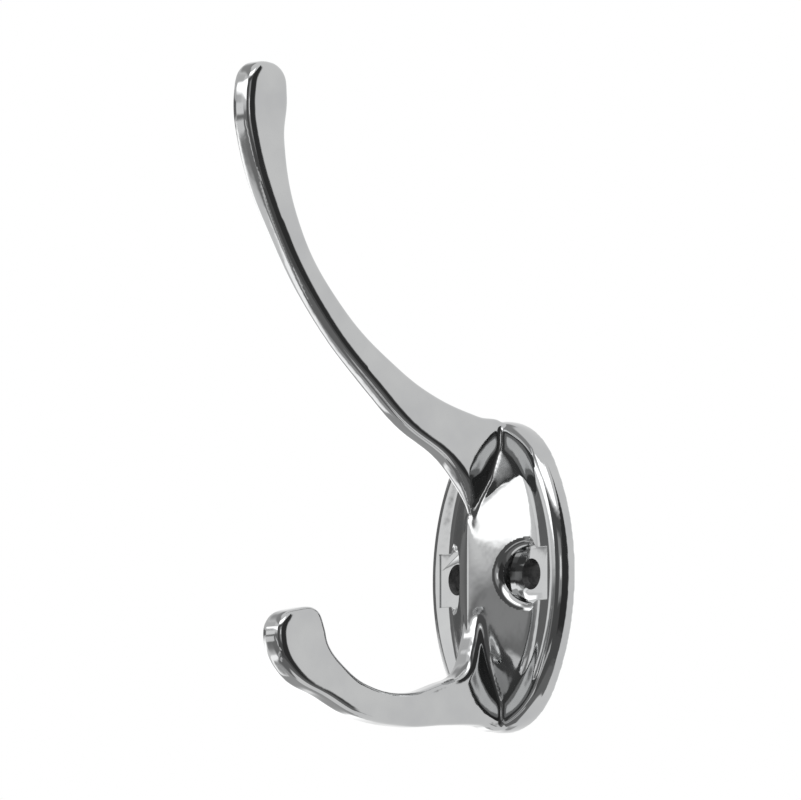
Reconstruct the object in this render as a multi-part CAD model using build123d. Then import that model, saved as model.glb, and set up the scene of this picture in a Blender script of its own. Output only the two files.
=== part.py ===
"""One-piece cast hat-and-coat hook: an oval domed wall plate with a long upper arm and a short lower hook.

Frame: X across the plate, Z up, and the wall is the plane Y = 0 behind the plate, so the hook reaches
towards -Y.  The origin is midway between the two screw holes, on the wall.
"""
import os
from math import radians, sqrt, tan

from build123d import *

# Wall plate, in millimetres
plate_width = 42.6
plate_height = 60.0
rim_side = 1.75          # upright edge of the plate, before its front edge rolls over
rim_round = 2.45         # radius of that rolled front edge
end_radius = 17.5        # radius of the outline's top and bottom

# Dome in the middle of the plate
flange_width = 4.8       # from the rolled edge in to the dome's flank, at mid height
flange_end = 2.1         # from the rolled edge in to the dome's end, at the top and bottom
crest_height = 10.3      # from the wall to the top of the dome
ridge_length = 21.0      # level part of the dome's crest
ridge_round = 0.6        # how far the crest is rounded down from where its flanks would meet
cove_radius = 5.0

# Screw holes, and the flat-bottomed seats cut into the dome for the screw heads
hole_inset = 9.3         # from the plate's edge to the hole's centre
hole_diameter = 4.6
countersink_diameter = 6.6
countersink_angle = 90.0
seat_radius = 5.3
seat_sink = 0.5          # how far the seat's floor lies below the flange
seat_run = 5.6           # from the hole's centre to the straight outer end of its seat
seat_draft = 5.0
seat_wall = 0.75         # share of the seat's inner wall that is steep, before it flares out to the lip
lip_flare = 28.0
lip_round = 0.8

# Recess cored out of the back, under the crest
core_width = 8.4
core_length = 34.0
core_depth = 5.6
core_draft = 4.0
core_round = 1.5

# Upper arm: reach from the wall and height of its tip, then its thicknesses and its width
upper_reach = 64.1
upper_rise = 97.4
upper_neck = 7.2
upper_waist = 5.5
upper_swell = 8.3
upper_knob = 9.8
upper_width = 5.6

# Lower hook: its lowest point and its tip are measured up from the screw holes
lower_reach = 57.2
lower_floor = -29.6
lower_tip = -7.7
lower_waist = 6.5
lower_bend = 7.2
lower_knob = 11.4
lower_width = 5.8

# Where the arms run out along the crest of the dome
upper_spear = 12.5       # end of the upper arm's tail, up from the screw holes
lower_spear = -8.5       # end of the lower hook's tail
spear_width = 2.2        # width of the upper tail at its end
spear_length = 7.5       # from there up to the arm's full width
bury = 2.8               # how far below the crest the arms' inner ends lie
arm_round = 2.3          # rounding along the arms' long edges

# Middle lines from neck to knob, as shares of the arm's reach and rise, with the thickness there
upper_path = [(0.471, 0.375, upper_neck), (0.681, 0.508, upper_waist), (0.839, 0.670, upper_waist),
              (0.920, 0.835, upper_swell), (1 - upper_knob / 2 / upper_reach, 0.934, upper_knob)]
lower_path = [(0.449, 0.148, lower_waist), (0.636, 0.215, lower_waist), (0.752, 0.360, lower_bend),
              (0.858, 0.571, (lower_bend + 2 * lower_knob) / 3),
              (1 - lower_knob / 2 / lower_reach, 0.785, lower_knob)]

# Arm edges that leave the crest, as steps (out, up) from the end of the arm's tail on the crest
upper_front_root = [(-bury, -7.5), (0.0, 1.0), (4.7, 8.2), (16.1, 15.8)]
lower_top_root = [(7.8, -12.5), (2.6, -10.1), (0.4, -4.5), (-bury, 4.5)]

# Arm edges that leave the rim, as (out from the wall, up from the nearest end of the plate)
upper_back_root = [(19.1, 4.2), (8.8, 0.7), (rim_side, -0.3)]
lower_under_root = [(rim_side, 0.4), (8.6, 1.2), (16.0, 1.0)]

flange_height = rim_side + rim_round
seat_floor = flange_height - seat_sink
half_width = plate_width / 2
half_height = plate_height / 2
hole_spacing = plate_width - 2 * hole_inset


def make_plate():
    """Oval plate, drawn with two end arcs and two side arcs, with its front edge rolled over."""
    end_centre = half_height - end_radius
    side_radius = (half_width**2 + end_centre**2 - end_radius**2) / (2 * (half_width - end_radius))
    share = side_radius / (side_radius - end_radius)
    corner = ((side_radius - half_width) * (share - 1), end_centre * share)
    top = ThreePointArc(corner, (0, half_height), (-corner[0], corner[1]))
    side = ThreePointArc(corner, (half_width, 0), (corner[0], -corner[1]))
    outline = make_face([top, mirror(top, Plane.XZ), side, mirror(side, Plane.YZ)])
    blank = extrude(Plane.XZ * outline, flange_height)
    return fillet(blank.faces().sort_by(Axis.Y)[0].edges(), rim_round)


def dome_flank():
    """Half width of the dome where its flanks meet the flange."""
    return half_width - rim_round - flange_width


def dome_steep():
    """Measure of how steep the flanks are: the rise they would have with a sharp ridge."""
    rise = crest_height - flange_height
    return sqrt(rise**2 + 2 * rise * ridge_round)


def make_dome():
    """Roof over the plate: ovals that shrink as they rise, to a rounded ridge with sloping ends."""
    rise = crest_height - flange_height
    end = half_height - rim_round - flange_end
    ovals = []
    for share in (1.12, 0.75, 0.45, 0.22, 0.08, 0.01):
        drop = rise * share
        across = dome_flank() * sqrt(drop**2 + 2 * drop * ridge_round) / dome_steep()
        along = ridge_length / 2 + (end - ridge_length / 2) * share
        ovals.append(Plane.XZ.offset(crest_height - drop) * Ellipse(across, along))
    return loft(ovals)


def make_base():
    """Plate and dome in one, with a cove between them."""
    plate = make_plate()
    dome = make_dome()
    base = plate + dome
    return fillet(new_edges(plate, dome, combined=base), cove_radius)


def edges_beside(stations):
    """Points half a thickness either side of a middle line given as (out, up, thickness)."""
    middle = Spline(*[(-out, up) for out, up, thickness in stations])
    ahead, behind = [], []
    for out, up, thickness in stations:
        along = middle % middle.param_at_point((-out, up))
        across = Vector(-along.Y, along.X) * (thickness / 2)
        ahead.append(Vector(-out, up) + across)
        behind.append(Vector(-out, up) - across)
    return ahead, behind[::-1]


def arcs_along(guide, points):
    """Tangent arcs, two from each point to the next, that follow a guide curve through the points."""
    chain = []
    for start, end in zip(points, points[1:]):
        start, end = Vector(*start), Vector(*end)
        leave = guide % guide.param_at_point(start)
        arrive = guide % guide.param_at_point(end)
        span = end - start
        ahead = span.dot(leave + arrive)
        arm = span.dot(span) / (ahead + sqrt(ahead**2 + 2 * (1 - leave.dot(arrive)) * span.dot(span)))
        middle = (start + end + (leave - arrive) * arm) / 2
        chain.append(TangentArc(start, middle, tangent=leave))
        chain.append(TangentArc(end, middle, tangent=-arrive))
    return chain


def side_view(ahead, tip, behind):
    """Face of an arm seen from the side: one edge out to the tip, round it, and the other edge back."""
    outward = Spline(*ahead)
    inward = Spline(*behind)
    nose = Spline(ahead[-1], tip, behind[0], tangents=(outward % 1, inward % 0))
    arcs = arcs_along(outward, ahead) + arcs_along(nose, [ahead[-1], tip, behind[0]])
    arcs += arcs_along(inward, behind)
    return Plane.YZ * make_face(arcs + [Line(behind[-1], ahead[0])])


def make_arm(side, width):
    """Flat-sided arm of one width, with its long edges rounded over in two narrow flats."""
    arm = extrude(side, width / 2, both=True)
    inner_end = arm.faces().filter_by(GeomType.PLANE) - arm.faces().filter_by(Axis.X)
    low_end = inner_end[0].center()
    for steep, shallow in ((0.423, 0.732), (0.309, 0.309)):
        for cheek in (0, -1):
            flat = arm.faces().filter_by(Axis.X).sort_by(Axis.X)[cheek]
            end = flat.edges().sort_by_distance(low_end)[0]
            arm = chamfer(flat.edges() - [end], arm_round * steep, arm_round * shallow, reference=flat)
    return arm


def make_upper_arm():
    """Slender arm that leaves the top of the plate, sweeps out and ends upright in a flat knob."""
    ahead, behind = edges_beside([(upper_reach * out, upper_rise * up, thick)
                                  for out, up, thick in upper_path])
    ahead = [(-crest_height - out, upper_spear + up) for out, up in upper_front_root] + ahead
    behind += [(-out, half_height + up) for out, up in upper_back_root]
    side = side_view(ahead, (-upper_reach + upper_knob * 0.45, upper_rise), behind)
    return make_arm(side, upper_width) - make_spear_cut()


def make_spear_cut():
    """Tool that narrows the upper arm's tail from both sides, along an arc that leaves the side smoothly."""
    shoulder = (upper_width / 2, upper_spear + spear_length)
    point = (spear_width / 2, upper_spear)
    low = upper_spear - half_height
    flank = [TangentArc(shoulder, point, tangent=(0, -1)),
             Polyline(point, (spear_width / 2, low), (half_width, low), (half_width, shoulder[1]), shoulder)]
    right = extrude(Plane.XZ * make_face(flank), upper_reach)
    return [right, mirror(right, Plane.YZ)]


def make_lower_hook():
    """Short hook that leaves the foot of the plate, dips and turns up to a flat knob."""
    turn_up = lower_tip - lower_floor
    under, over = edges_beside([(lower_reach * out, lower_floor + turn_up * up, thick)
                                for out, up, thick in lower_path])
    under = [(-out, up - half_height) for out, up in lower_under_root] + under
    over += [(-crest_height - out, lower_spear + up) for out, up in lower_top_root]
    side = side_view(under, (-lower_reach + lower_knob * 0.47, lower_tip), over)
    return make_arm(side, lower_width)


def make_seat():
    """Tool that cuts one screw seat: a round-ended slot, open towards the rim, with a flared mouth."""
    slot = Circle(seat_radius) + Pos(seat_run / 2, 0) * Rectangle(seat_run, 2 * seat_radius)
    floor = Plane.XZ.offset(seat_floor) * (Pos(hole_spacing / 2, 0) * slot)
    lean = dome_steep() * (hole_spacing / 2 - seat_radius) / dome_flank()
    lip = crest_height + ridge_round - sqrt(ridge_round**2 + lean**2)
    well = extrude(floor, (lip - seat_floor) * seat_wall, taper=-seat_draft)
    mouth = extrude(well.faces().sort_by(Axis.Y)[0], crest_height - seat_floor, taper=-lip_flare)
    return well + mouth


def make_hole():
    """Tool that drills one screw hole and countersinks its mouth in the seat's floor."""
    sink = (countersink_diameter - hole_diameter) / 2 / tan(radians(countersink_angle / 2))
    section = Polyline((0, 0), (hole_diameter / 2, 0), (hole_diameter / 2, sink - seat_floor),
                       (countersink_diameter / 2, -seat_floor), (countersink_diameter / 2, -crest_height),
                       (0, -crest_height), close=True)
    return Pos(hole_spacing / 2, 0, 0) * revolve(make_face(section), Axis.Y)


def make_core():
    """Tool that hollows the back: a drafted slot with a rounded floor."""
    blank = extrude(Plane.XZ * SlotOverall(core_length, core_width, 90), core_depth, taper=core_draft)
    return fillet(blank.faces().sort_by(Axis.Y)[0].edges(), core_round)


def cut_seat(hook, seat):
    """The hook with one seat cut and the seat's lip rounded over."""
    seated = hook - seat
    lip = new_edges(hook, seat, combined=seated).sort_by(Axis.Y)[0]
    lip = seated.edges().sort_by_distance(lip @ 0.5)[0]
    return fillet(lip, lip_round)


def make_hook():
    """The casting: plate, dome and arms in one, then the seats, holes and recess."""
    hook = make_base() + make_upper_arm() + make_lower_hook()
    seat = make_seat()
    hole = make_hole()
    for tool in (seat, mirror(seat, Plane.YZ)):
        hook = cut_seat(hook, tool)
    for tool in (hole, mirror(hole, Plane.YZ), make_core()):
        hook -= tool
    return hook


if __name__ == "__main__":
    os.makedirs("parts", exist_ok=True)
    export_step(make_hook(), "parts/hat_hook.step")
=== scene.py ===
"""Polished chrome hat-and-coat hook on white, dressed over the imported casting.

The frame is in metres: X across the plate, Z up, the wall is the plane Y = 0 and the arms reach towards -Y.
Sizes of the hook are written in millimetres, and its skin is brought to metres once it is whole.
"""

import math

import bmesh
import bpy
from mathutils import Matrix, Vector


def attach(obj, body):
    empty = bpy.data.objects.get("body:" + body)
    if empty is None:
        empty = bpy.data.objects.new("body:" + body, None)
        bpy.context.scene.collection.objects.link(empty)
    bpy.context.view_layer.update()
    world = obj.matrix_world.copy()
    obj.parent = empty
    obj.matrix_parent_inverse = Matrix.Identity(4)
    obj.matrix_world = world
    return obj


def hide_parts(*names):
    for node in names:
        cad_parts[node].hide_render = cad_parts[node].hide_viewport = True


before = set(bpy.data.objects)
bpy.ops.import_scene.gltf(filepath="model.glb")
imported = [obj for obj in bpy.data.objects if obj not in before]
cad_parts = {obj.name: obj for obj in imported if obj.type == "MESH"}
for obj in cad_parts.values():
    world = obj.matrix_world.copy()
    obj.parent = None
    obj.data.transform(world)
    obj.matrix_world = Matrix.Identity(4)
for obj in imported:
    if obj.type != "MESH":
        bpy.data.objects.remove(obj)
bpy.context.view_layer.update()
scene = bpy.context.scene
MM = 0.001

# Wall plate and dome
PLATE_HALF_WIDTH = 21.3
PLATE_HALF_HEIGHT = 30.0
END_RADIUS = 17.5
RIM_SIDE = 1.75
RIM_ROUND = 2.45
FLANGE = RIM_SIDE + RIM_ROUND
FLANGE_DISH = 0.35
DOME_FOOT = FLANGE - FLANGE_DISH
CREST = 10.3
FLANK_HALF = 14.05
END_HALF = 25.45
RIDGE_HALF = 10.5
RIDGE_ROUND = 0.6
COVE = 5.0

# Rings and segments of the plate and dome, with the shares of the flange where rings lie
PLATE_SEGMENTS = 240
ROLL_STEPS = 12
FLANGE_SHARES = (0.3, 0.6, 0.85)
COVE_STEPS = 10
FLANK_STEPS = 27
FOOT_SAMPLE = 0.99
HEIGHT_HALVINGS = 30

# Screw seats, screw holes and the recess in the back
HOLE_X = 12.0
HOLE_RADIUS = 2.2
SINK_RADIUS = 3.0
SEAT_RADIUS = 5.3
SEAT_HALF = 5.0
SEAT_RUN = 5.6
SEAT_FLOOR = 3.8
CORE_HALF_WIDTH = 4.2
CORE_HALF_LENGTH = 17.0
CORE_DEPTH = 5.6
CORE_DRAFT = 4.0
SEAT_SEGMENTS = 160
BORE_SEGMENTS = 64
PAST_WALL = 1.0
PAST_FLOOR = 0.5

# Lip of a screw seat as (offset outwards, depth below the dome's surface), from its wall to its rim
SEAT_LIP = [(0.2, 1.3), (0.28, 1.0), (0.42, 0.7), (0.62, 0.42), (0.88, 0.2), (1.18, 0.06), (1.5, -0.08)]
LIP_END = 0.05

# How much of the lip's offset opens a seat's sides and its rim end, and the rise that takes all of it
SEAT_OPEN = 1.5
RUN_OPEN = 0.05
LIP_RISE = 0.7
LIP_LEAST = 0.04
RING_STEP = 0.01

# Arm outlines seen from the side as (Y, Z): out along the front or under edge, round the tip and back
UPPER_OUTLINE = [
    (-7.5, 5.0), (-10.3, 13.5), (-15.0, 20.7), (-26.4, 28.3), (-32.4, 33.7), (-45.8, 47.7),
    (-56.3, 64.1), (-63.1, 80.7), (-64.1, 91.5), (-62.6, 95.7), (-59.5, 96.9), (-55.4, 95.2),
    (-54.3, 90.5), (-54.9, 81.9), (-51.3, 66.5), (-41.5, 51.2), (-28.0, 39.4), (-19.1, 34.2),
    (-8.8, 30.7), (-2.6, 29.2), (-2.4, 22.0), (-4.5, 10.0)]
LOWER_OUTLINE = [
    (-2.6, -29.2), (-8.6, -28.8), (-16.0, -29.0), (-25.4, -29.6), (-37.5, -28.0), (-44.8, -24.8),
    (-53.3, -20.5), (-57.0, -13.8), (-55.9, -9.4), (-51.8, -7.7), (-47.5, -7.8), (-45.6, -11.2),
    (-44.7, -14.3), (-40.9, -18.4), (-35.3, -21.8), (-25.9, -23.1), (-18.1, -21.0), (-12.9, -18.6),
    (-10.7, -13.0), (-9.6, -8.1), (-7.5, -4.0), (-4.5, -10.0), (-2.4, -22.0)]

# Arm widths as (place along the arm, width): up the upper arm, and out along the lower hook
UPPER_WIDTHS = [
    (0.0, 2.2), (12.5, 2.2), (20.0, 5.6), (34.0, 5.4), (46.0, 4.9), (60.0, 4.9), (76.0, 5.7), (110.0, 5.7)]
LOWER_WIDTHS = [(0.0, 5.8), (34.0, 5.8), (50.0, 6.2), (70.0, 6.2)]
ARM_ROUND = 1.4
ARM_STEPS = 10
MERGE = 0.001

# Skin mesh, and how closely its faces are told apart
VOXEL = 0.325
SMOOTH_PASSES = 8
SMOOTH_FACTOR = 0.5
SHARP_ANGLE = 40.0
BORE_SLACK = 0.02
BACK_SLACK = 0.05
FLOOR_SLACK = 0.03
FLOOR_FACING = 0.98

# Camera, in metres and degrees
AIM = Vector((-10.6, -18.4, 34.1)) * MM
VIEW_AZIMUTH = 54.0
VIEW_ELEVATION = -3.75
VIEW_DISTANCE = 6.0
VIEW_WIDTH = 0.15404
SENSOR_WIDTH = 36.0
CLIP_START = 0.01

# Floor, lamp and sky
FLOOR_RADIUS = 1.2
FLOOR_LEVEL = -0.16
FLOOR_SEGMENTS = 96
FLOOR_GREY = 0.9
FLOOR_ROUGHNESS = 0.9
LAMP_AZIMUTH = -40
LAMP_ELEVATION = 55
LAMP_DISTANCE = 1.0
LAMP_SIZE = 0.6
LAMP_ENERGY = 8.0
SKY_FILL = 0.6
SKY_WHITE = 1.0

# Cards around the hook: name, azimuths of the two ends, lower edges and upper edges at those ends, strength,
# width of the soft border and distance, with angles in degrees and the distance in metres
CARD_SEGMENTS = 32
CARDS = [
    ("overhead_softbox", (3, 76), (32, 33), (50, 60), 2.6, 3, 1.8),
    ("front_softbox", (-61, 2), (11, 7), (17, 30), 2.4, 3, 1.8),
    ("floor_glow", (-57, -38), (-1, -1), (8, 8), 1.15, 2, 1.78),
    ("camera_glow", (49, 61), (-2, -2), (11, 11), 1.5, 3, 1.7),
    ("camera_haze", (36, 68), (-13, -13), (22, 22), 0.46, 6, 1.77),
    ("tip_glint", (-60, -46), (-10, -10), (-2, -2), 1.0, 2, 1.85),
    ("low_streak", (-34, -4), (-9, -24), (-2, -16), 0.9, 2, 1.85),
    ("floor_streak", (-2, 32), (-29, -30), (-22, -23), 0.7, 2, 1.85),
    ("floor_glint", (-90, -59), (-39, -30), (-32, -24), 1.7, 2, 1.84),
    ("hook_glint", (-62, -18), (-40, -48), (-34, -41), 0.8, 2.5, 1.85),
    ("far_flag", (-116, -57), (-2.5, -1), (11, 9), 0.2, 2, 1.86),
    ("side_softbox", (-124, -58), (-30, -17), (0, -2), 1.9, 6, 1.9),
    ("black_flag", (60, 119), (-30, -30), (4, 62), 0.05, 6, 1.95),
    ("dark_room", (-2, 120), (-46, -46), (30, 36), 0.12, 4, 2.0),
    ("front_grey", (-62, 4), (-34, -34), (6, 6), 0.26, 8, 2.1),
    ("upper_grey", (-114, 4), (29, 29), (62, 62), 0.4, 8, 2.1),
    ("left_grey", (-118, -48), (-6, -6), (34, 34), 0.75, 8, 2.15),
    ("front_floor", (-76, 126), (-68, -68), (-28, -40), 0.22, 6, 2.2),
    ("side_floor", (-124, -62), (-60, -60), (-24, -24), 0.48, 8, 2.25)]


def link(name, data):
    """New object in the scene, at the origin."""
    piece = bpy.data.objects.new(name, data)
    scene.collection.objects.link(piece)
    return piece


def mesh_from(name, bm):
    """New mesh taken from a bmesh, which is freed."""
    mesh = bpy.data.meshes.new(name)
    bm.to_mesh(mesh)
    bm.free()
    return mesh


def piece_from(name, bm):
    """Object made from a closed bmesh, with its faces turned outwards."""
    bmesh.ops.recalc_face_normals(bm, faces=bm.faces)
    return link(name, mesh_from(name, bm))


def verts_in(made):
    """Vertices among what an operator made."""
    return [part for part in made["geom"] if isinstance(part, bmesh.types.BMVert)]


def edges_in(made):
    """Edges among what an operator made."""
    return [part for part in made["geom"] if isinstance(part, bmesh.types.BMEdge)]


def raise_ring(bm, rim, scale, rise, centre):
    """Extrudes an open rim towards -Y, scaling the new one about a centre line, and returns its edges."""
    made = bmesh.ops.extrude_edge_only(bm, edges=rim)
    ring = verts_in(made)
    around = Matrix.Translation(-Vector(centre))
    bmesh.ops.scale(bm, vec=(scale[0], 1, scale[1]), verts=ring, space=around)
    bmesh.ops.translate(bm, vec=(0, -rise, 0), verts=ring)
    return [edge for edge in edges_in(made) if all(end in ring for end in edge.verts)]


def add_ring(bm, rim, angles, place):
    """Extrudes an open rim, puts each new vertex where its angle says, and returns the new rim."""
    old = {vert for edge in rim for vert in edge.verts}
    made = bmesh.ops.extrude_edge_only(bm, edges=rim)
    fresh = verts_in(made)
    for vert in fresh:
        below = [edge.other_vert(vert) for edge in vert.link_edges if edge.other_vert(vert) in old][0]
        angles[vert] = angles[below]
        vert.co = place(angles[vert])
    return [edge for edge in edges_in(made) if all(end in fresh for end in edge.verts)]


def oval_point(around, inset, height):
    """Point on the plate's four-arc outline, set in by a distance, where an ellipse has the angle given."""
    turn = math.atan2(PLATE_HALF_WIDTH * math.sin(around), PLATE_HALF_HEIGHT * math.cos(around))
    end_centre = PLATE_HALF_HEIGHT - END_RADIUS
    side_radius = ((PLATE_HALF_WIDTH**2 + end_centre**2 - END_RADIUS**2)
                   / (2 * (PLATE_HALF_WIDTH - END_RADIUS)))
    side_centre = PLATE_HALF_WIDTH - side_radius
    out, up = math.cos(turn), math.sin(turn)
    if abs(out) * end_centre < abs(up) * -side_centre:
        reach = END_RADIUS - inset
        return Vector((out * reach, -height, math.copysign(end_centre, up) + up * reach))
    reach = side_radius - inset
    return Vector((math.copysign(side_centre, -out) + out * reach, -height, up * reach))


def dome_point(around, wide, tall):
    """Point on an oval of the dome, given as (half span, height) at its sides and at its ends."""
    sides, ends = math.cos(around), math.sin(around)
    height = wide[1] * sides**2 + tall[1] * ends**2
    return Vector((wide[0] * sides, -height, tall[0] * ends))


def dome_flank(share):
    """Half width and height of the dome's side, at a share of the way down from its crest."""
    foot = CREST - DOME_FOOT
    drop = foot * share
    lean = math.sqrt((drop**2 + 2 * drop * RIDGE_ROUND) / (foot**2 + 2 * foot * RIDGE_ROUND))
    return FLANK_HALF * lean, CREST - drop


def dome_end(share):
    """Half length and height of the dome's end, at a share of the way down from its crest."""
    return RIDGE_HALF + (END_HALF - RIDGE_HALF) * share, CREST - (CREST - FLANGE) * share


def coved(profile):
    """Half spans and heights up a dome profile, from the cove at its foot to near its crest."""
    foot, low = profile(1.0)
    near, high = profile(FOOT_SAMPLE)
    slope = math.atan2(high - low, foot - near)
    start = foot + COVE * math.tan(slope / 2)
    steps = []
    for step in range(COVE_STEPS):
        turn = slope * step / COVE_STEPS
        steps.append((start - COVE * math.sin(turn), low + COVE * (1 - math.cos(turn))))
    joint = 1 - COVE * math.tan(slope / 2) * math.sin(slope) / (CREST - low)
    for step in range(FLANK_STEPS):
        steps.append(profile(joint * (1 - step / FLANK_STEPS)**2))
    return steps


def dome_height(across, along):
    """Height of the dome's surface over a place on the plate."""
    low, high = 0.0, 1.0
    for step in range(HEIGHT_HALVINGS):
        share = (low + high) / 2
        if (across / dome_flank(share)[0])**2 + (along / dome_end(share)[0])**2 > 1:
            low = share
        else:
            high = share
    return CREST - (CREST - DOME_FOOT) * high


def first_ring(bm, segments, place):
    """Starts a bmesh with a filled ring, and returns its edges and the angle of each vertex."""
    made = bmesh.ops.create_circle(bm, cap_ends=True, segments=segments, radius=1.0)
    angles = {vert: math.atan2(vert.co.y, vert.co.x) for vert in made["verts"]}
    for vert in made["verts"]:
        vert.co = place(angles[vert])
    return bm.edges[:], angles


def make_plate():
    """Oval plate and dome: one outline raised ring by ring over the roll, flange, cove and flanks."""
    sides, ends = coved(dome_flank), coved(dome_end)
    rings = []
    for step in range(ROLL_STEPS + 1):
        turn = math.radians(90) * step / ROLL_STEPS
        inset, height = RIM_ROUND * (1 - math.cos(turn)), RIM_SIDE + RIM_ROUND * math.sin(turn)
        rings.append(lambda around, inset=inset, height=height: oval_point(around, inset, height))
    for share in FLANGE_SHARES:
        rings.append(lambda around, share=share: oval_point(around, RIM_ROUND, FLANGE).lerp(
            dome_point(around, sides[0], ends[0]), share))
    for wide, tall in zip(sides, ends):
        rings.append(lambda around, wide=wide, tall=tall: dome_point(around, wide, tall))
    bm = bmesh.new()
    rim, angles = first_ring(bm, PLATE_SEGMENTS, lambda around: oval_point(around, 0.0, 0.0))
    for ring in rings:
        rim = add_ring(bm, rim, angles, ring)
    bmesh.ops.contextual_create(bm, geom=rim)
    return piece_from("plate", bm)


def seat_plan(around, offset):
    """Place on a seat's outline, round towards the ridge and square towards the rim, opened by an offset."""
    half = SEAT_HALF + SEAT_OPEN * offset
    if math.cos(around) <= 0:
        return HOLE_X + (SEAT_RADIUS + offset) * math.cos(around), half * math.sin(around)
    run = SEAT_RUN + RUN_OPEN * offset
    share = 1 - abs(around) / math.radians(90)
    if share < 0.5:
        return HOLE_X + run * share * 2, math.copysign(half, around)
    return HOLE_X + run, math.copysign(half * (1 - share) * 2, around)


def seat_point(around, offset, depth):
    """Point on a seat's wall or lip, at a depth below the dome, and never under the seat's floor."""
    rise = dome_height(*seat_plan(around, 0.0)) - SEAT_FLOOR
    across, along = seat_plan(around, offset * max(LIP_LEAST, min(1.0, rise / LIP_RISE)))
    height = max(SEAT_FLOOR + RING_STEP * offset, dome_height(across, along) - depth)
    return Vector((across, -height, along))


def make_seat(side):
    """Cutter for one screw seat: a flat floor, steep walls and a rounded lip that follows the dome."""
    bm = bmesh.new()
    rim, angles = first_ring(bm, SEAT_SEGMENTS, lambda around: seat_point(around, 0.0, CREST))
    for offset, depth in SEAT_LIP:
        rim = add_ring(bm, rim, angles, lambda around: seat_point(around, offset, depth))
    rim = add_ring(bm, rim, angles, lambda around: seat_point(around, offset + LIP_END, -CREST))
    bmesh.ops.contextual_create(bm, geom=rim)
    if side < 0:
        bmesh.ops.scale(bm, vec=(-1, 1, 1), verts=bm.verts)
    return piece_from("seat_cutter", bm)


def upright_disc(radius):
    """New bmesh with a filled circle that lies along the wall."""
    bm = bmesh.new()
    bmesh.ops.create_circle(bm, cap_ends=True, segments=BORE_SEGMENTS, radius=radius)
    bmesh.ops.rotate(bm, matrix=Matrix.Rotation(math.radians(90), 3, "X"), verts=bm.verts)
    return bm


def make_hole(side):
    """Cutter for one screw hole with its countersink."""
    bm = upright_disc(HOLE_RADIUS)
    bmesh.ops.translate(bm, vec=(side * HOLE_X, PAST_WALL, 0), verts=bm.verts)
    centre = (side * HOLE_X, 0, 0)
    sink = SINK_RADIUS - HOLE_RADIUS
    rim = raise_ring(bm, bm.edges[:], (1, 1), PAST_WALL + SEAT_FLOOR - sink, centre)
    grow = (SINK_RADIUS + PAST_FLOOR) / HOLE_RADIUS
    rim = raise_ring(bm, rim, (grow, grow), sink + PAST_FLOOR, centre)
    bmesh.ops.contextual_create(bm, geom=rim)
    return piece_from("hole_cutter", bm)


def make_core():
    """Cutter for the recess cored out of the back."""
    bm = upright_disc(CORE_HALF_WIDTH)
    run = CORE_HALF_LENGTH - CORE_HALF_WIDTH
    for vert in bm.verts:
        vert.co.z += math.copysign(run, vert.co.z)
    bmesh.ops.translate(bm, vec=(0, PAST_WALL, 0), verts=bm.verts)
    rim = raise_ring(bm, bm.edges[:], (1, 1), PAST_WALL, (0, 0, 0))
    narrow = CORE_DEPTH * math.tan(math.radians(CORE_DRAFT))
    shrink = (1 - narrow / CORE_HALF_WIDTH, 1 - narrow / CORE_HALF_LENGTH)
    rim = raise_ring(bm, rim, shrink, CORE_DEPTH, (0, 0, 0))
    bmesh.ops.contextual_create(bm, geom=rim)
    return piece_from("core_cutter", bm)


def settle(piece):
    """Makes a piece's modifiers part of its mesh."""
    ready = piece.evaluated_get(bpy.context.evaluated_depsgraph_get())
    old = piece.data
    piece.data = bpy.data.meshes.new_from_object(ready)
    piece.modifiers.clear()
    bpy.data.meshes.remove(old)


def cut(piece, cutters):
    """Subtracts each cutter from a piece and removes the cutters."""
    for cutter in cutters:
        bite = piece.modifiers.new("cut", "BOOLEAN")
        bite.operation = "DIFFERENCE"
        bite.solver = "EXACT"
        bite.object = cutter
    settle(piece)
    for cutter in cutters:
        bpy.data.objects.remove(cutter)


def eased(stations, place):
    """Value at a place between stations, with level ends to each stretch."""
    for (start, low), (end, high) in zip(stations, stations[1:]):
        if place <= end:
            share = max(0.0, min(1.0, (place - start) / (end - start)))
            return low + (high - low) * share * share * (3 - 2 * share)
    return stations[-1][1]


def make_arm(name, outline, widths, place):
    """Flat-sided arm: a filled outline given a thickness and a rounded edge, then its width along the arm."""
    curve = bpy.data.curves.new(name, "CURVE")
    curve.dimensions = "2D"
    curve.fill_mode = "BOTH"
    spline = curve.splines.new("BEZIER")
    spline.bezier_points.add(len(outline) - 1)
    for point, (out, up) in zip(spline.bezier_points, outline):
        point.co = (out, up, 0)
        point.handle_left_type = "AUTO"
        point.handle_right_type = "AUTO"
    spline.use_cyclic_u = True
    curve.resolution_u = ARM_STEPS
    half = max(width for station, width in widths) / 2
    curve.extrude = half - ARM_ROUND
    curve.bevel_depth = ARM_ROUND
    curve.bevel_resolution = ARM_STEPS
    curve.offset = -ARM_ROUND
    shape = link(name + "_outline", curve)
    bpy.context.view_layer.update()
    ready = shape.evaluated_get(bpy.context.evaluated_depsgraph_get())
    bm = bmesh.new()
    mesh = bpy.data.meshes.new_from_object(ready)
    bm.from_mesh(mesh)
    bpy.data.meshes.remove(mesh)
    bpy.data.objects.remove(shape)
    bmesh.ops.remove_doubles(bm, verts=bm.verts, dist=MERGE)
    across = Matrix(((0, 0, 1), (1, 0, 0), (0, 1, 0)))
    bmesh.ops.transform(bm, matrix=across.to_4x4(), verts=bm.verts)
    for vert in bm.verts:
        vert.co.x *= eased(widths, place(vert.co)) / (2 * half)
    return piece_from(name, bm)


def join(name, pieces):
    """One mesh holding several pieces."""
    bm = bmesh.new()
    for piece in pieces:
        bm.from_mesh(piece.data)
        bpy.data.objects.remove(piece)
    return link(name, mesh_from(name, bm))


def melt(piece):
    """Makes overlapping pieces one closed mesh of even faces."""
    remesh = piece.modifiers.new("melt", "REMESH")
    remesh.mode = "VOXEL"
    remesh.voxel_size = VOXEL
    remesh.adaptivity = 0.0
    settle(piece)


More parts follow.
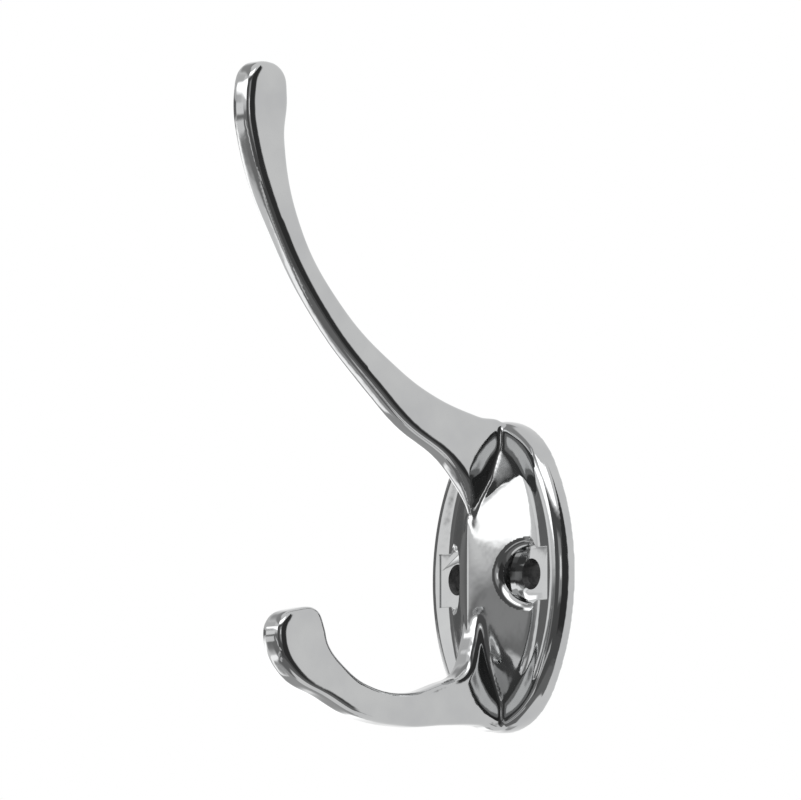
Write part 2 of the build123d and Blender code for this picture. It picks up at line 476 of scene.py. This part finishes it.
def soften(piece):
    """Evens out a mesh, which also rounds its edges and creases a little."""
    bm = bmesh.new()
    bm.from_mesh(piece.data)
    for step in range(SMOOTH_PASSES):
        bmesh.ops.smooth_vert(
            bm, verts=bm.verts, factor=SMOOTH_FACTOR, use_axis_x=True, use_axis_y=True, use_axis_z=True)
    bm.to_mesh(piece.data)
    bm.free()


def in_bore(face):
    """Whether a face lies in one of the screw holes."""
    centre = face.calc_center_median()
    off = math.hypot(abs(centre.x) - HOLE_X, centre.z)
    return off < SINK_RADIUS + BORE_SLACK and BACK_SLACK < -centre.y < SEAT_FLOOR - BORE_SLACK


def on_floor(face):
    """Whether a face is part of a screw seat's flat floor."""
    return abs(face.calc_center_median().y + SEAT_FLOOR) < FLOOR_SLACK and face.normal.y < -FLOOR_FACING


def finish_skin(piece):
    """Marks the screw holes' faces for their painted shade, brings the skin to metres and keeps its cut edges
    sharp.
    """
    bm = bmesh.new()
    bm.from_mesh(piece.data)
    for face in bm.faces:
        face.smooth = not on_floor(face)
        # Faces in the screw holes take the second material, which is painted shade.
        face.material_index = 1 if in_bore(face) else 0
    bmesh.ops.scale(bm, vec=(MM, MM, MM), verts=bm.verts)
    bmesh.ops.recalc_face_normals(bm, faces=bm.faces)
    bm.to_mesh(piece.data)
    bm.free()
    piece.data.set_sharp_from_angle(angle=math.radians(SHARP_ANGLE))


def make_hook():
    """The casting's skin: plate, dome and arms melted into one, then the seats, holes and recess cut."""
    plate = make_plate()
    upper = make_arm("upper_arm", UPPER_OUTLINE, UPPER_WIDTHS, lambda co: co.z)
    lower = make_arm("lower_hook", LOWER_OUTLINE, LOWER_WIDTHS, lambda co: -co.y)
    hook = join("hat_hook_skin", [plate, upper, lower])
    melt(hook)
    soften(hook)
    cut(hook, [make_seat(1), make_seat(-1), make_hole(1), make_hole(-1), make_core()])
    finish_skin(hook)
    return hook


def new_metal(name, metallic):
    """Material and node tree of a metal, with its finish still to come."""
    material = bpy.data.materials.new(name)
    material.use_nodes = True
    material.node_tree.nodes["Principled BSDF"].inputs["Metallic"].default_value = metallic
    return material, material.node_tree


def add_noise(tree, scale, detail):
    """Noise that stays with the piece."""
    place = tree.nodes.new("ShaderNodeTexCoord")
    noise = tree.nodes.new("ShaderNodeTexNoise")
    noise.inputs["Scale"].default_value = scale
    noise.inputs["Detail"].default_value = detail
    tree.links.new(place.outputs["Object"], noise.inputs["Vector"])
    return noise.outputs["Fac"]


def add_tint(tree, noise, span, dark, light):
    """Colour that drifts between two tints over a span of the noise."""
    tint = tree.nodes.new("ShaderNodeValToRGB")
    tint.color_ramp.elements[0].position = span[0]
    tint.color_ramp.elements[0].color = (*dark, 1)
    tint.color_ramp.elements[1].position = span[1]
    tint.color_ramp.elements[1].color = (*light, 1)
    tree.links.new(noise, tint.inputs["Fac"])
    tree.links.new(tint.outputs["Color"], tree.nodes["Principled BSDF"].inputs["Base Color"])


def add_roughness(tree, noise, span, smooth, rough):
    """Roughness that drifts between two values over a span of the noise."""
    gloss = tree.nodes.new("ShaderNodeMapRange")
    gloss.inputs["From Min"].default_value = span[0]
    gloss.inputs["From Max"].default_value = span[1]
    gloss.inputs["To Min"].default_value = smooth
    gloss.inputs["To Max"].default_value = rough
    tree.links.new(noise, gloss.inputs["Value"])
    tree.links.new(gloss.outputs["Result"], tree.nodes["Principled BSDF"].inputs["Roughness"])


def add_bump(tree, noise, strength, distance):
    """Fine relief from the noise."""
    bump = tree.nodes.new("ShaderNodeBump")
    bump.inputs["Strength"].default_value = strength
    bump.inputs["Distance"].default_value = distance
    tree.links.new(noise, bump.inputs["Height"])
    tree.links.new(bump.outputs["Normal"], tree.nodes["Principled BSDF"].inputs["Normal"])


def chrome():
    """Bright chrome plating over a polished casting: faint ripple, hazy patches and a cool tint."""
    material, tree = new_metal("polished_chrome", metallic=1.0)
    haze = add_noise(tree, scale=140.0, detail=3.0)
    add_tint(tree, haze, span=(0.3, 0.7), dark=(0.46, 0.465, 0.47), light=(0.51, 0.515, 0.515))
    add_roughness(tree, haze, span=(0.3, 0.7), smooth=0.03, rough=0.075)
    ripple = add_noise(tree, scale=260.0, detail=2.0)
    add_bump(tree, ripple, strength=0.05, distance=0.0005)
    return material


def painted_bore_shade():
    """Painted shade: dark metal inside the screw holes, with a cast grain."""
    material, tree = new_metal("painted_bore_shade", metallic=0.8)
    grain = add_noise(tree, scale=900.0, detail=4.0)
    add_tint(tree, grain, span=(0.35, 0.7), dark=(0.035, 0.035, 0.036), light=(0.09, 0.09, 0.09))
    add_roughness(tree, grain, span=(0.0, 1.0), smooth=0.4, rough=0.65)
    add_bump(tree, grain, strength=0.3, distance=0.0001)
    return material


def glow(name, strength):
    """Even card of light, or a dark flag at a strength near zero, that fades out at its edges."""
    material = bpy.data.materials.new(name)
    material.use_nodes = True
    nodes = material.node_tree.nodes
    links = material.node_tree.links
    nodes.remove(nodes["Principled BSDF"])
    light = nodes.new("ShaderNodeEmission")
    light.inputs["Strength"].default_value = strength
    clear = nodes.new("ShaderNodeBsdfTransparent")
    fade = nodes.new("ShaderNodeAttribute")
    fade.attribute_name = "fade"
    edge = nodes.new("ShaderNodeMixShader")
    links.new(fade.outputs["Fac"], edge.inputs["Fac"])
    links.new(clear.outputs["BSDF"], edge.inputs[1])
    links.new(light.outputs["Emission"], edge.inputs[2])
    links.new(edge.outputs["Shader"], nodes["Material Output"].inputs["Surface"])
    return material


def towards(azimuth, elevation):
    """Unit vector: azimuth in degrees from the hook's front towards +X, elevation up."""
    turn, lift = math.radians(azimuth), math.radians(elevation)
    return Vector((math.sin(turn) * math.cos(lift), -math.cos(turn) * math.cos(lift), math.sin(lift)))


def look_at_hook(thing, outward, distance):
    """Puts a camera or lamp at a distance from the hook and turns it to face the hook."""
    thing.location = AIM + outward * distance
    thing.rotation_euler = outward.to_track_quat("Z", "Y").to_euler()


def make_camera():
    """Long lens to one side of the hook and a little below its middle."""
    lens = bpy.data.cameras.new("camera")
    lens.sensor_width = SENSOR_WIDTH
    lens.lens = SENSOR_WIDTH * VIEW_DISTANCE / VIEW_WIDTH
    lens.clip_start = CLIP_START
    camera = link("camera", lens)
    look_at_hook(camera, towards(VIEW_AZIMUTH, VIEW_ELEVATION), VIEW_DISTANCE)
    scene.camera = camera


def make_card(name, azimuths, low, high, strength, soft, distance):
    """Curved card around the hook, seen only in its reflections: low and high edges at its two azimuths."""
    bm = bmesh.new()
    bmesh.ops.create_grid(bm, x_segments=CARD_SEGMENTS, y_segments=CARD_SEGMENTS, size=1.0)
    fade = bm.verts.layers.float.new("fade")
    for vert in bm.verts:
        across = (vert.co.x + 1) / 2
        along = (vert.co.y + 1) / 2
        bottom = low[0] + (low[1] - low[0]) * across
        top = high[0] + (high[1] - high[0]) * across
        from_end = (1 - abs(vert.co.x)) * abs(azimuths[1] - azimuths[0]) / 2
        from_edge = (1 - abs(vert.co.y)) * (top - bottom) / 2
        vert[fade] = eased([(0.0, 0.0), (soft, 1.0)], min(from_end, from_edge))
        azimuth = azimuths[0] + (azimuths[1] - azimuths[0]) * across
        vert.co = AIM + towards(azimuth, bottom + (top - bottom) * along) * distance
    card = link(name, mesh_from(name, bm))
    card.data.materials.append(glow(name, strength))
    card.visible_camera = False
    card.visible_diffuse = False
    card.visible_shadow = False


def make_stage():
    """White paper floor below the hook, kept out of its reflections."""
    bm = bmesh.new()
    bmesh.ops.create_circle(bm, cap_ends=True, segments=FLOOR_SEGMENTS, radius=FLOOR_RADIUS)
    bmesh.ops.translate(bm, vec=(0, 0, FLOOR_LEVEL), verts=bm.verts)
    floor = link("floor", mesh_from("floor", bm))
    paper = bpy.data.materials.new("white_paper")
    paper.use_nodes = True
    shader = paper.node_tree.nodes["Principled BSDF"]
    shader.inputs["Base Color"].default_value = (FLOOR_GREY, FLOOR_GREY, FLOOR_GREY, 1)
    shader.inputs["Roughness"].default_value = FLOOR_ROUGHNESS
    floor.data.materials.append(paper)
    floor.visible_glossy = False


def make_sky():
    """World that is white to the camera and in reflections, and dimmer as fill light."""
    world = bpy.data.worlds.new("studio")
    world.use_nodes = True
    scene.world = world
    nodes = world.node_tree.nodes
    links = world.node_tree.links
    sky = nodes["Background"]
    sky.inputs["Color"].default_value = (1, 1, 1, 1)
    rays = nodes.new("ShaderNodeLightPath")
    seen = nodes.new("ShaderNodeMath")
    seen.operation = "MAXIMUM"
    links.new(rays.outputs["Is Camera Ray"], seen.inputs[0])
    links.new(rays.outputs["Is Glossy Ray"], seen.inputs[1])
    both = nodes.new("ShaderNodeMath")
    both.operation = "MAXIMUM"
    links.new(seen.outputs["Value"], both.inputs[0])
    links.new(rays.outputs["Is Transmission Ray"], both.inputs[1])
    level = nodes.new("ShaderNodeMapRange")
    level.inputs["To Min"].default_value = SKY_FILL
    level.inputs["To Max"].default_value = SKY_WHITE
    links.new(both.outputs["Value"], level.inputs["Value"])
    links.new(level.outputs["Result"], sky.inputs["Strength"])


def make_lamp():
    """Soft lamp above and in front of the hook, kept out of its reflections."""
    lamp = bpy.data.lights.new("softbox", "AREA")
    lamp.size = LAMP_SIZE
    lamp.energy = LAMP_ENERGY
    key = link("softbox", lamp)
    look_at_hook(key, towards(LAMP_AZIMUTH, LAMP_ELEVATION), LAMP_DISTANCE)
    key.visible_glossy = False


hook = make_hook()
hook.data.materials.append(chrome())
# The second material paints shade inside the screw holes.
hook.data.materials.append(painted_bore_shade())
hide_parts("hat_hook")
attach(hook, "root")

make_camera()
make_stage()
make_sky()
make_lamp()
for card in CARDS:
    make_card(*card)

scene.view_settings.view_transform = "Standard"
